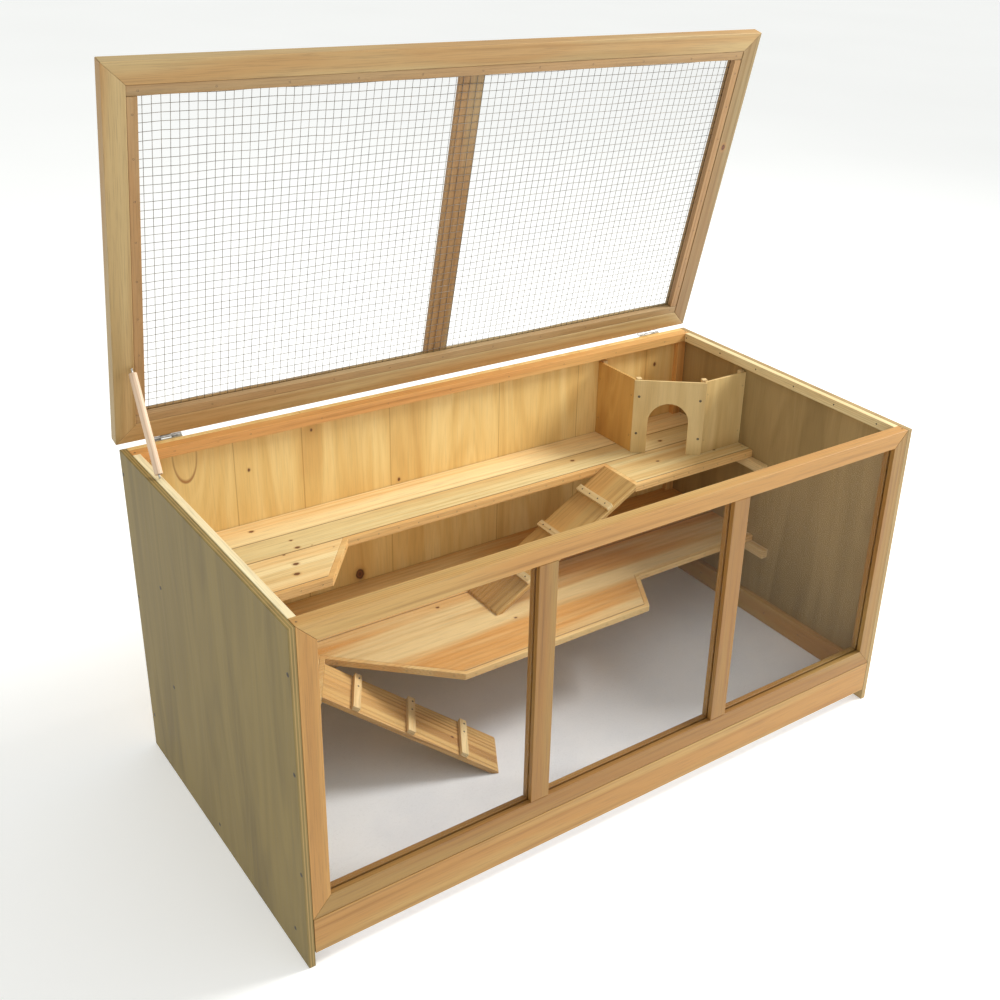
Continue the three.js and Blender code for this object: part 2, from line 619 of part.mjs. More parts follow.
// The open lid's heel is the furthest point back: centre the whole object on Y.
const heel = LID_THICKNESS * Math.sin(LID_OPEN_ANGLE * RADIANS) - LID_BACK * Math.cos(LID_OPEN_ANGLE * RADIANS);
body.position.y = -(FRONT + BACK + HINGE_BEHIND + heel) / 2;
cage.add(body);

export default cage;
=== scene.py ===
# A wooden hamster cage with a mesh lid held open by a stick, three clear front panes, two
# shelves, two cleated ramps and an open-topped corner house. Metres, +Z up, front faces -Y.
import math
import random

import bmesh
import bpy
from mathutils import Matrix, Vector


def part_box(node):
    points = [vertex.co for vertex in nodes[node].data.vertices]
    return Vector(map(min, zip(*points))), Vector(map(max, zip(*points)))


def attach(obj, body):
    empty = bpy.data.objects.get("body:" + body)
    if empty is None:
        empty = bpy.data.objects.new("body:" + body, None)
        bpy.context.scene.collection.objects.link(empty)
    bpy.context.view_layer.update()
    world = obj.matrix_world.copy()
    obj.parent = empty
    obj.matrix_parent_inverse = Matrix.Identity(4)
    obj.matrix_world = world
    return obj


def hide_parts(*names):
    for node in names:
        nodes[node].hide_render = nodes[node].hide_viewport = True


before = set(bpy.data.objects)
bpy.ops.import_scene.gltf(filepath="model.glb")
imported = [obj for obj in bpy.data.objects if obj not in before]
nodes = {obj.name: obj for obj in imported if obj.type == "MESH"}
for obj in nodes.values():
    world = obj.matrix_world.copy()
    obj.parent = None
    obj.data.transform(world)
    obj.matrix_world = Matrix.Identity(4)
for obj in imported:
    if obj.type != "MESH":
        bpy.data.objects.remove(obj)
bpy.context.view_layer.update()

# ---------------------------------------------------------------------------------------
# The studio: the camera stands high to the left of the front, over a plain white table.
# A wide soft lamp hangs high on the right and a weak one in front, and a pale sky fills
# the shadows.

scene = bpy.context.scene
bpy.ops.object.camera_add(location=(-1.08149, -1.50319, 1.39529))
camera = bpy.context.object
camera.name = "studio_camera"
heading = Matrix.Rotation(math.radians(-38.22), 4, "Z")
pitch = Matrix.Rotation(math.radians(64.11), 4, "X")
roll = Matrix.Rotation(math.radians(3.009), 4, "Z")
camera.rotation_euler = (heading @ pitch @ roll).to_euler()
camera.data.lens = 44.85
camera.data.sensor_width = 36
camera.data.shift_x = -0.0805
camera.data.shift_y = -0.0268
scene.camera = camera
scene.view_settings.view_transform = "Standard"


def linear(code):
    """An sRGB hex colour as the linear colour that a shader socket takes."""
    channels = [int(code[place:place + 2], 16) / 255 for place in (1, 3, 5)]
    curve = [c / 12.92 if c <= 0.04045 else ((c + 0.055) / 1.055) ** 2.4 for c in channels]
    return (*curve, 1.0)


def add_node(tree, kind, sockets, stops=(), **settings):
    """Adds a shader node. A socket takes a value, an output, or a node for its first output.

    Stops are a colour ramp's (place, colour) pairs, in order.
    """
    node = tree.nodes.new("ShaderNode" + kind)
    for setting, value in settings.items():
        setattr(node, setting, value)
    if stops:
        elements = node.color_ramp.elements
        elements.remove(elements[1])
        elements[0].position = stops[0][0]
        elements[0].color = stops[0][1]
        for place, colour in stops[1:]:
            elements.new(place).color = colour
    in_use = [socket for socket in node.inputs if socket.enabled]
    for key, value in sockets.items():
        if isinstance(key, int):
            socket = in_use[key]
        else:
            socket = next(s for s in in_use if s.name == key)
        if isinstance(value, bpy.types.Node):
            value = next(output for output in value.outputs if output.enabled)
        if isinstance(value, bpy.types.NodeSocket):
            tree.links.new(value, socket)
        else:
            socket.default_value = value
    return node


def new_material(name):
    """An empty node material."""
    material = bpy.data.materials.new(name)
    material.use_nodes = True
    material.node_tree.nodes.clear()
    return material


def grey(level):
    """A neutral colour for a ramp that carries a number."""
    return (level, level, level, 1.0)


# Opal acrylic light table: a matt white sheet lit from behind, so that shadows on it stay pale.
light_table = new_material("opal_acrylic_light_table")
tree = light_table.node_tree
place = add_node(tree, "TexCoord", {}).outputs["Object"]
cloud = add_node(tree, "TexNoise", {"Vector": place, "Scale": 0.8, "Detail": 2.0})
tint = add_node(tree, "ValToRGB", {"Fac": cloud},
                stops=[(0.3, linear("#fbfbfa")), (0.7, linear("#fefefd"))])
opal = add_node(tree, "BsdfPrincipled", {
    "Base Color": tint, "Roughness": 0.9, "Emission Color": linear("#ffffff"),
    "Emission Strength": 0.26})
add_node(tree, "OutputMaterial", {"Surface": opal})

bpy.ops.object.select_all(action="DESELECT")
bpy.ops.mesh.primitive_plane_add(size=40, location=(0, 0, 0))
table = bpy.context.object
table.name = "studio_floor"
table.data.materials.append(light_table)

world = bpy.data.worlds.new("studio_sky")
world.use_nodes = True
world.node_tree.nodes["Background"].inputs["Color"].default_value = linear("#f8faf8")
world.node_tree.nodes["Background"].inputs["Strength"].default_value = 0.7
scene.world = world

LAMPS = {
    "key_lamp": ((2.6, -0.7, 2.5), 1.3, 120, "#fffefa"),
    "fill_lamp": ((-0.6, -2.8, 2.2), 2.2, 5, "#f7faff"),
}
for lamp_name, (lamp_place, lamp_size, watts, lamp_colour) in LAMPS.items():
    bpy.ops.object.light_add(type="AREA", location=lamp_place)
    lamp = bpy.context.object
    lamp.name = lamp_name
    lamp.data.shape = "DISK"
    lamp.data.size = lamp_size
    lamp.data.energy = watts
    lamp.data.color = linear(lamp_colour)[:3]
    aim = Vector((0, 0, 0.35)) - Vector(lamp_place)
    lamp.rotation_euler = aim.to_track_quat("-Z", "Y").to_euler()

# ---------------------------------------------------------------------------------------
# The side panels: 10 mm plywood, faced with rotary-cut poplar whose grain runs upright.
# Each is screwed from outside into the ends of the shelves, rails and front frame.

MM = 0.001


def turned_place(tree, along, out, centre):
    """Object coordinates turned so that X runs along the grain and Z out of the face."""
    along = Vector(along).normalized()
    out = Vector(out).normalized()
    rows = Matrix((along, out.cross(along), out))
    place = add_node(tree, "TexCoord", {}).outputs["Object"]
    return add_node(tree, "Mapping", {
        "Vector": place,
        "Location": -(rows @ Vector(centre)),
        "Rotation": rows.to_euler(),
    })


def add_spots(tree, colour, turned, spots):
    """Lays knots over a colour. Each spot is (along, across, radius) from the grain's centre."""
    # A knot is drawn out a little along the grain, and runs deep into the board.
    for along, across, radius in spots:
        stretch = (0.78 / radius, 1 / radius, 0.25 / radius)
        offset = (-along * stretch[0], -across * stretch[1], 0)
        placed = add_node(tree, "Mapping", {"Vector": turned, "Location": offset, "Scale": stretch})
        wobble = add_node(tree, "TexNoise", {"Vector": placed, "Scale": 1.3, "Detail": 2.0})
        apart = add_node(tree, "VectorMath", {0: placed}, operation="LENGTH").outputs["Value"]
        swell = add_node(tree, "MapRange", {"Value": wobble, "To Min": 0.38, "To Max": 0.62})
        uneven = add_node(tree, "Math", {0: swell, 1: apart}, operation="MULTIPLY")
        core = add_node(tree, "ValToRGB", {"Fac": uneven}, stops=[
            (0.12, linear("#4a200c")), (0.26, linear("#7d4119")),
            (0.38, linear("#38180a")), (0.5, linear("#8f5a27")), (0.8, linear("#c98f4c")),
        ])
        cover = add_node(tree, "ValToRGB", {"Fac": uneven},
                         stops=[(0.42, grey(0.95)), (0.52, grey(0.45)), (0.95, grey(0))])
        colour = add_node(tree, "Mix", {"Factor": cover, "A": colour, "B": core}, data_type="RGBA")
    return colour


def poplar_ply(name, node, tones, along, out, shift=0.0, seams=(), spots=(), patch=None):
    """Rotary-cut poplar plywood, sanded and bare: long soft flames, and plies at the edge."""
    low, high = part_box(node)
    thick = abs((high - low).dot(Vector(out)))
    material = new_material(name)
    tree = material.node_tree
    turned = turned_place(tree, along, out, (low + high) / 2)
    # Flames about 65 mm wide and nearly eight times as long.
    long_place = add_node(tree, "Mapping", {
        "Vector": turned, "Scale": (0.13, 1, 1), "Location": (shift, shift, 0)})
    flame = add_node(tree, "TexNoise", {
        "Vector": long_place, "Scale": 15.0, "Detail": 3.0, "Roughness": 0.55, "Distortion": 1.1})
    face = add_node(tree, "ValToRGB", {"Fac": flame}, stops=[
        (0.28, linear(tones[2])), (0.45, linear(tones[1])), (0.6, linear(tones[0])),
        (0.74, linear(tones[1])),
    ])
    # Pores and peeling streaks, 2 mm apart and 60 mm long.
    fine_place = add_node(tree, "Mapping", {"Vector": turned, "Scale": (0.035, 1, 1)})
    fibre = add_node(tree, "TexNoise", {
        "Vector": fine_place, "Scale": 480.0, "Detail": 3.0, "Roughness": 0.6})
    streak = add_node(tree, "ValToRGB", {"Fac": fibre},
                      stops=[(0.36, grey(0.72)), (0.5, grey(0.97)), (0.66, grey(1.0))])
    colour = add_node(tree, "Mix", {"Factor": 0.3, "A": face, "B": streak},
                      data_type="RGBA", blend_type="MULTIPLY")
    across = add_node(tree, "SeparateXYZ", {"Vector": turned}).outputs["Y"]
    for seam, width in seams:
        apart = add_node(tree, "Math", {0: across, 1: seam}, operation="SUBTRACT")
        apart = add_node(tree, "Math", {0: apart}, operation="ABSOLUTE")
        line = add_node(tree, "MapRange", {
            "Value": apart, "From Min": width * 0.5, "From Max": width, "To Min": 0.48, "To Max": 0.0})
        colour = add_node(tree, "Mix", {"Factor": line, "A": colour, "B": linear("#a06a28")},
                          data_type="RGBA")
    if patch:
        # A boat-shaped veneer patch, let in where a knot fell out. Only its brown rim shows.
        up, across, half_long, half_wide = patch
        stretch = (1 / half_long, 1 / half_wide, 0)
        placed = add_node(tree, "Mapping", {
            "Vector": turned, "Location": (-up / half_long, -across / half_wide, 0), "Scale": stretch})
        apart = add_node(tree, "VectorMath", {0: placed}, operation="LENGTH").outputs["Value"]
        rim = add_node(tree, "ValToRGB", {"Fac": apart}, stops=[
            (0.0, grey(0)), (0.82, grey(0.05)), (0.92, grey(0.9)), (0.97, grey(0.6)), (1.0, grey(0))])
        # The glue line shows best round the patch's foot, and fades towards its head.
        rise = add_node(tree, "SeparateXYZ", {"Vector": placed}).outputs["X"]
        foot = add_node(tree, "MapRange", {
            "Value": rise, "From Min": -0.9, "From Max": 0.75, "To Min": 1.0, "To Max": 0.12})
        rim = add_node(tree, "Math", {0: rim, 1: foot}, operation="MULTIPLY")
        colour = add_node(tree, "Mix", {"Factor": rim, "A": colour, "B": linear("#96571f")},
                          data_type="RGBA")
    colour = add_spots(tree, colour, turned, spots)
    # Five plies: the two that cross show as darker lines along the edge.
    depth = add_node(tree, "SeparateXYZ", {"Vector": turned}).outputs["Z"]
    depth = add_node(tree, "Math", {0: depth}, operation="ABSOLUTE")
    ply = add_node(tree, "Math", {0: depth, 1: thick}, operation="DIVIDE")
    plies = add_node(tree, "ValToRGB", {"Fac": ply}, stops=[
        (0.12, grey(0)), (0.15, grey(0.55)), (0.25, grey(0.55)), (0.28, grey(0))])
    colour = add_node(tree, "Mix", {"Factor": plies, "A": colour, "B": linear("#c29a62")},
                      data_type="RGBA")
    relief = add_node(tree, "Bump", {"Height": fibre, "Strength": 0.25, "Distance": 0.4 * MM})
    sheen = add_node(tree, "MapRange", {"Value": fibre, "To Min": 0.5, "To Max": 0.68})
    surface = add_node(tree, "BsdfPrincipled", {
        "Base Color": colour, "Roughness": sheen, "Normal": relief, "IOR": 1.5})
    add_node(tree, "OutputMaterial", {"Surface": surface})
    return material


def dress(node, material, edge=0.8 * MM):
    """Gives a CAD board its material and eases its sawn edges with sandpaper's small round."""
    board = nodes[node]
    board.data.materials.clear()
    board.data.materials.append(material)
    if edge:
        weld = board.modifiers.new("weld", "WELD")
        weld.merge_threshold = 0.05 * MM
        round_edge = board.modifiers.new("eased_edges", "BEVEL")
        round_edge.width = edge
        round_edge.segments = 2
        round_edge.limit_method = "ANGLE"
        round_edge.angle_limit = math.radians(35)


# Galvanised steel: bright zinc with a cloudy grey bloom, whose patches are about 6 mm across.
zinc = new_material("galvanised_steel")
tree = zinc.node_tree
place = add_node(tree, "TexCoord", {}).outputs["Object"]
bloom = add_node(tree, "TexNoise", {"Vector": place, "Scale": 160.0, "Detail": 3.0})
coat = add_node(tree, "ValToRGB", {"Fac": bloom},
                stops=[(0.35, linear("#a9a8a4")), (0.7, linear("#d9d8d4"))])
gloss = add_node(tree, "MapRange", {"Value": bloom, "To Min": 0.3, "To Max": 0.55})
relief = add_node(tree, "Bump", {"Height": bloom, "Strength": 0.15, "Distance": 0.1 * MM})
surface = add_node(tree, "BsdfPrincipled", {
    "Base Color": coat, "Roughness": gloss, "Normal": relief, "Metallic": 1.0})
add_node(tree, "OutputMaterial", {"Surface": surface})

# Blackened steel, as nails and cheap screws leave the heat treatment: dark, dull and oily,
# with marks of scale about 1 mm across.
dark_steel = new_material("heat_blackened_steel")
tree = dark_steel.node_tree
place = add_node(tree, "TexCoord", {}).outputs["Object"]
scale_marks = add_node(tree, "TexNoise", {"Vector": place, "Scale": 900.0, "Detail": 3.0})
coat = add_node(tree, "ValToRGB", {"Fac": scale_marks},
                stops=[(0.35, linear("#3b3431")), (0.7, linear("#6d6660"))])
gloss = add_node(tree, "MapRange", {"Value": scale_marks, "To Min": 0.35, "To Max": 0.6})
relief = add_node(tree, "Bump", {"Height": scale_marks, "Strength": 0.2, "Distance": 0.1 * MM})
surface = add_node(tree, "BsdfPrincipled", {
    "Base Color": coat, "Roughness": gloss, "Normal": relief, "Metallic": 0.85})
add_node(tree, "OutputMaterial", {"Surface": surface})


def settle(piece):
    """Puts a piece's place into its mesh, so that its object sits at the origin."""
    bpy.ops.object.select_all(action="DESELECT")
    piece.select_set(True)
    bpy.context.view_layer.objects.active = piece
    bpy.ops.object.transform_apply(location=True, rotation=True, scale=True)


def pick(piece, test, kind="faces"):
    """In edit mode, selects the faces, edges or points that pass the test, and nothing else."""
    modes = {"faces": "FACE", "edges": "EDGE", "verts": "VERT"}
    bpy.ops.mesh.select_mode(type="VERT")
    bpy.ops.mesh.select_all(action="DESELECT")
    bpy.ops.mesh.select_mode(type=modes[kind])
    mesh = bmesh.from_edit_mesh(piece.data)
    for part in getattr(mesh, kind):
        part.select_set(bool(test(part)))
    mesh.select_flush_mode()
    bmesh.update_edit_mesh(piece.data)


def sunk_screw(name, radius, steel):
    """A countersunk crosshead screw's head, face up at the origin, with its recess pressed in."""
    bpy.ops.object.select_all(action="DESELECT")
    bpy.ops.mesh.primitive_cylinder_add(vertices=16, radius=radius, depth=1.2 * MM)
    screw = bpy.context.object
    screw.name = name
    bpy.ops.object.mode_set(mode="EDIT")
    pick(screw, lambda face: face.normal.z > 0.9)
    bpy.ops.mesh.inset(thickness=radius * 0.14)
    bpy.ops.transform.translate(value=(0, 0, 0.18 * MM))
    bpy.ops.mesh.inset(thickness=radius * 0.24)
    # The inner ring of points becomes a cross: the points between its arms are drawn in.
    rim = radius * 0.682

    def between_arms(vert):
        turn = math.degrees(math.atan2(vert.co.y, vert.co.x)) % 90
        return vert.co.z > 0 and vert.co.xy.length < rim and 15 < turn < 75

    pick(screw, between_arms, "verts")
    bpy.ops.transform.resize(value=(0.42, 0.42, 1), center_override=(0, 0, 0))
    pick(screw, lambda face: face.normal.z > 0.9 and face.calc_center_median().xy.length < 0.05 * MM)
    bpy.ops.mesh.extrude_region_move(TRANSFORM_OT_translate={"value": (0, 0, -0.7 * MM)})
    bpy.ops.transform.resize(value=(0.6, 0.6, 1), center_override=(0, 0, 0))
    pick(screw, lambda face: face.normal.z < -0.9)
    bpy.ops.transform.resize(value=(0.55, 0.55, 1), center_override=(0, 0, 0))
    bpy.ops.object.mode_set(mode="OBJECT")
    screw.data.materials.append(steel)
    return screw


def pin_nail(name, radius, steel):
    """A panel pin's head, face up at the origin: a small disc with a punched dimple."""
    bpy.ops.object.select_all(action="DESELECT")
    bpy.ops.mesh.primitive_cylinder_add(vertices=8, radius=radius, depth=0.8 * MM)
    nail = bpy.context.object
    nail.name = name
    bpy.ops.object.mode_set(mode="EDIT")
    pick(nail, lambda face: face.normal.z > 0.9)
    bpy.ops.mesh.inset(thickness=radius * 0.3)
    bpy.ops.transform.translate(value=(0, 0, -0.2 * MM))
    bpy.ops.object.mode_set(mode="OBJECT")
    nail.data.materials.append(steel)
    return nail


def drive(name, fastener, places, body):
    """Copies a fastener to each (place, way out), as one piece that rides on a body."""
    copies = []
    for place, out in places:
        copy = fastener.copy()
        copy.data = fastener.data.copy()
        scene.collection.objects.link(copy)
        face = Vector(out).to_track_quat("Z", "Y").to_matrix().to_4x4()
        twist = Matrix.Rotation(random.uniform(0, math.pi), 4, "Z")
        copy.data.transform(Matrix.Translation(Vector(place)) @ face @ twist)
        copies.append(copy)
    bpy.ops.object.select_all(action="DESELECT")
    for copy in copies:
        copy.select_set(True)
    bpy.context.view_layer.objects.active = copies[0]
    if len(copies) > 1:
        bpy.ops.object.join()
    joined = bpy.context.view_layer.objects.active
    joined.name = name
    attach(joined, body)


random.seed(11)
screw = sunk_screw("loose_screw", 3.4 * MM, dark_steel)
nail = pin_nail("loose_nail", 1.5 * MM, dark_steel)
# Across the panel and up it. The first four stand near its front edge.
SIDE_SCREWS = [(-302, 490), (-302, 335), (-303, 167), (-270, 43), (273, 68), (279, 300),
               (279, 520), (0, 30), (160, 377), (150, 199)]
# The left panel's tones are darker than the right's: painted shade on the face that the key lamp
# doesn't reach. Both panels are the same poplar.
SIDE_TONES = {
    "left": ("#8e7940", "#836f39", "#766332"),
    "right": ("#ab9060", "#a08657", "#8e764b"),
}
SIDE_FACE = 575 * MM
SCREW_SINK = 0.45 * MM
for side, out_x, shift in (("left", -1, 0.0), ("right", 1, 3.7)):
    panel = "side_panel_" + side
    dress(panel, poplar_ply(panel + "_poplar_ply", panel, SIDE_TONES[side],
                            (0, 0, 1), (out_x, 0, 0), shift))
    face_x = out_x * (SIDE_FACE - SCREW_SINK)
    drive(panel + "_screws", screw,
          [((face_x, y * MM, z * MM), (out_x, 0, 0)) for y, z in SIDE_SCREWS], "cage")

# ---------------------------------------------------------------------------------------
# The back panel: 10 mm plywood with its better face inside. The face is made up of
# upright strips whose joints show as thin brown lines, with a few small knots.

BACK_TONES = ("#f0cf8a", "#e6bf76", "#d6a85f")
back_low, back_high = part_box("back_panel")
back_middle = (back_low + back_high) / 2
BACK_SEAMS = [(-399, 1.2), (-279, 1.4), (-112, 1.2), (118, 1.3), (301, 1.2), (472, 1.2)]
BACK_KNOTS = [
    (-375, 479, 2.6), (-261, 525, 2.4), (-96, 390, 3), (-180, 219, 9), (495, 498, 3.5),
    (230, 150, 5),
]
# Seen from the front, the panel's outward side is -Y, so across runs towards -X.
back_ply = poplar_ply(
    "back_panel_poplar_ply", "back_panel", BACK_TONES, (0, 0, 1), (0, -1, 0), 8.1,
    [(-x * MM, width * MM) for x, width in BACK_SEAMS],
    [(z * MM - back_middle.z, -x * MM, size * MM) for x, z, size in BACK_KNOTS],
    (530 * MM - back_middle.z, 479 * MM, 50 * MM, 21 * MM),
)
dress("back_panel", back_ply)
PIN_SINK = 0.25 * MM
back_pins = [(x, z) for z in (30, 199, 377, 551) for x in range(-525, 526, 150)]
back_pins += [(side * 555, z) for side in (-1, 1) for z in range(100, 520, 90)]
drive("back_panel_nails", nail,
      [((x * MM, back_high.y - PIN_SINK, z * MM), (0, 1, 0)) for x, z in back_pins], "cage")

# ---------------------------------------------------------------------------------------
# The floor board: 10 mm fibreboard faced with white melamine film, pressed smooth, so it
# is pale and slightly glossy, with cloudy marks about 110 mm across and specks of dust.

melamine = new_material("white_melamine_floor")
tree = melamine.node_tree
place = add_node(tree, "TexCoord", {}).outputs["Object"]
cloud = add_node(tree, "TexNoise", {"Vector": place, "Scale": 9.0, "Detail": 4.0})
film = add_node(tree, "ValToRGB", {"Fac": cloud},
                stops=[(0.3, linear("#eef0f5")), (0.55, linear("#f6f7fa")), (0.75, linear("#f9f9fb"))])
dust = add_node(tree, "TexNoise", {"Vector": place, "Scale": 260.0, "Detail": 3.0})
speck = add_node(tree, "ValToRGB", {"Fac": dust}, stops=[(0.3, grey(0.86)), (0.45, grey(1.0))])
film = add_node(tree, "Mix", {"Factor": 0.5, "A": film, "B": speck},
                data_type="RGBA", blend_type="MULTIPLY")
gloss = add_node(tree, "MapRange", {"Value": cloud, "To Min": 0.24, "To Max": 0.42})
relief = add_node(tree, "Bump", {"Height": dust, "Strength": 0.08, "Distance": 0.2 * MM})
surface = add_node(tree, "BsdfPrincipled", {
    "Base Color": film, "Roughness": gloss, "Normal": relief, "IOR": 1.5})
add_node(tree, "OutputMaterial", {"Surface": surface})
dress("floor_board", melamine, 0)

# ---------------------------------------------------------------------------------------
# The plinth board: planed pine, standing on its edge below the front frame. It hides the
# front of the floor board.


# Bare planed pine: growth rings cut by the board's face, so they run as long bands, with
# fine fibres along them. The satin sheen comes from the planing.
def pine(name, tones, along, out, centre, pith, seed, ring=4.5 * MM, waver=3.0, spots=(),
         warm=0.5, lines=0.9, half_width=None):
    """Pine board cut `pith` (across, out) metres away from the middle of its tree."""
    material = new_material(name)
    tree = material.node_tree
    turned = turned_place(tree, along, out, centre)
    heart = add_node(tree, "Mapping", {
        "Vector": turned, "Location": (seed * 1.37, pith[0], pith[1]), "Scale": (0.055, 1, 1)})
    # One wave of the ring texture is 0.314 m divided by its scale.
    rings = add_node(tree, "TexWave", {
        "Vector": heart, "Scale": 0.314 / ring, "Distortion": waver, "Detail": 2.0,
        "Detail Scale": 0.35, "Detail Roughness": 0.5, "Phase Offset": seed * 2.1,
    }, wave_type="RINGS", rings_direction="X")
    grain = add_node(tree, "ValToRGB", {"Fac": rings}, stops=[
        (0.0, linear(tones[0])), (0.36, linear(tones[0])), (0.78, linear(tones[1])),
        (0.97, linear(tones[2])),
    ])
    # The lines fade in and out along a board, with the slope of its grain.
    patchy = add_node(tree, "Mapping", {
        "Vector": turned, "Location": (seed * 0.7, seed * 1.9, 0), "Scale": (0.22, 1, 1)})
    clear = add_node(tree, "TexNoise", {"Vector": patchy, "Scale": 11.0, "Detail": 1.0})
    shown = add_node(tree, "MapRange", {
        "Value": clear, "From Min": 0.35, "From Max": 0.68, "To Min": 0.12, "To Max": lines})
    grain = add_node(tree, "Mix", {"Factor": shown, "A": linear(tones[0]), "B": grain},
                     data_type="RGBA")
    # Whole bands of heartwood, about 60 mm wide, are redder than the rest.
    broad = add_node(tree, "Mapping", {
        "Vector": turned, "Location": (seed * 2.9, seed, 0), "Scale": (0.08, 1, 1)})
    band = add_node(tree, "TexNoise", {"Vector": broad, "Scale": 17.0, "Detail": 2.0})
    redness = add_node(tree, "ValToRGB", {"Fac": band},
                       stops=[(0.42, grey(0)), (0.56, grey(warm)), (0.75, grey(warm * 0.8))])
    colour = add_node(tree, "Mix", {"Factor": redness, "A": grain, "B": linear("#eec083")},
                      data_type="RGBA", blend_type="MULTIPLY")
    fine = add_node(tree, "Mapping", {"Vector": turned, "Scale": (0.03, 1, 1)})
    fibre = add_node(tree, "TexNoise", {
        "Vector": fine, "Scale": 520.0, "Detail": 3.0, "Roughness": 0.6})
    streak = add_node(tree, "ValToRGB", {"Fac": fibre},
                      stops=[(0.34, grey(0.66)), (0.5, grey(0.96)), (0.66, grey(1.0))])
    colour = add_node(tree, "Mix", {"Factor": 0.58, "A": colour, "B": streak},
                      data_type="RGBA", blend_type="MULTIPLY")
    colour = add_spots(tree, colour, turned, spots)
    if half_width:
        # A board's long edges darken: partly dust that gathers in the joint with its neighbour, partly
        # painted shade in the gap between them.
        across = add_node(tree, "SeparateXYZ", {"Vector": turned}).outputs["Y"]
        apart = add_node(tree, "Math", {0: across}, operation="ABSOLUTE")
        line = add_node(tree, "MapRange", {
            "Value": apart, "From Min": half_width - 1.8 * MM, "From Max": half_width - 0.6 * MM,
            "To Min": 0.0, "To Max": 0.7})
        colour = add_node(tree, "Mix", {"Factor": line, "A": colour, "B": linear("#6e4a22")},
                          data_type="RGBA")
    height = add_node(tree, "Math", {0: rings, 1: fibre}, operation="ADD")
    relief = add_node(tree, "Bump", {"Height": height, "Strength": 0.22, "Distance": 0.4 * MM})
    sheen = add_node(tree, "MapRange", {"Value": fibre, "To Min": 0.42, "To Max": 0.6})
    surface = add_node(tree, "BsdfPrincipled", {
        "Base Color": colour, "Roughness": sheen, "Normal": relief, "IOR": 1.5})
    add_node(tree, "OutputMaterial", {"Surface": surface})
    return material


boards_cut = []


def pine_board(node, tones, along, out, ring=4.5, waver=3.0, knots=(), warm=0.5, edge=0.8,
               lines=0.9, joints=False):
    """Dresses a CAD board in its own pine, cut from a fresh part of the tree."""
    boards_cut.append(node)
    seed = len(boards_cut)
    low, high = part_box(node)
    centre = (low + high) / 2
    # Each board lies elsewhere in the tree: up to 23 mm to a side of its middle, and 24 to
    # 54 mm out from it. The primes only spread the boards out.
    pith = (((seed * 37) % 23 - 11) * 2.1 * MM, (24 + (seed * 29) % 31) * MM)
    across = Vector(out).normalized().cross(Vector(along).normalized())
    spots = []
    for x, y, z, size in knots:
        offset = Vector((x, y, z)) * MM - centre
        spots.append((offset.dot(Vector(along).normalized()), offset.dot(across), size * MM))
    half_width = abs((high - low).dot(across)) / 2 if joints else None
    material = pine(node + "_pine", tones, along, out, centre, pith, seed * 0.731,
                    ring * MM, waver, spots, warm, lines, half_width)
    dress(node, material, edge * MM)


PLINTH_TONES = ("#bd9758", "#b38c4c", "#a47b40")
pine_board("plinth_board", PLINTH_TONES, (1, 0, 0), (0, -1, 0), ring=5.5)

# ---------------------------------------------------------------------------------------
# The front frame: planed pine, 22 mm deep, glued at its mitred corners, with two mullions
# between its rails. The grain of each member runs along it.

FRAME_TONES = ("#c69e5c", "#bc9351", "#ad8345")
# The darker copy is painted shade, for the bottom rail, the right stile and the mullions. Their pine
# is the same as the rest of the frame.
PAINTED_SHADE_FRAME_TONES = ("#a47f42", "#9b763a", "#8e6931")
pine_board("front_top_rail", FRAME_TONES, (1, 0, 0), (0, -1, 0), ring=4.0)
pine_board("front_bottom_rail", PAINTED_SHADE_FRAME_TONES, (1, 0, 0), (0, -1, 0), ring=4.0)
pine_board("front_stile_left", FRAME_TONES, (0, 0, 1), (0, -1, 0), ring=4.0)
for upright in ("front_stile_right", "mullion_left", "mullion_right"):
    pine_board(upright, PAINTED_SHADE_FRAME_TONES, (0, 0, 1), (0, -1, 0), ring=4.0)

# ---------------------------------------------------------------------------------------
# The three panes: 3 mm clear acrylic sheet, sawn to size and slid into grooves in the front
# frame, which hold it on all four sides.

# Clear cast acrylic: almost all that is behind shows, under a thin grey film. It is partly the cloudy
# film that wiping leaves, and partly a painted reflection that stands for the sheet's glare.
acrylic = new_material("clear_acrylic_sheet")
tree = acrylic.node_tree
place = add_node(tree, "TexCoord", {}).outputs["Object"]
scuff = add_node(tree, "TexNoise", {"Vector": place, "Scale": 7.0, "Detail": 1.0})
gloss = add_node(tree, "MapRange", {"Value": scuff, "To Min": 0.02, "To Max": 0.1})
haze = add_node(tree, "ValToRGB", {"Fac": scuff},
                stops=[(0.35, linear("#7c8383")), (0.7, linear("#8a9191"))])
waves = add_node(tree, "TexNoise", {"Vector": place, "Scale": 4.0, "Detail": 0.0})
relief = add_node(tree, "Bump", {"Height": waves, "Strength": 0.1, "Distance": 1 * MM})
surface = add_node(tree, "BsdfPrincipled", {
    "Base Color": haze, "Roughness": gloss, "Normal": relief, "IOR": 1.49, "Alpha": 0.025})
add_node(tree, "OutputMaterial", {"Surface": surface})
acrylic.surface_render_method = "BLENDED"
for pane in ("pane_left", "pane_centre", "pane_right"):
    dress(pane, acrylic, 0)

# ---------------------------------------------------------------------------------------
# Trim inside the box: rails along the top of the sides and back, a post in each back
# corner, and a low board along the foot of the right wall. All are pinned pine.

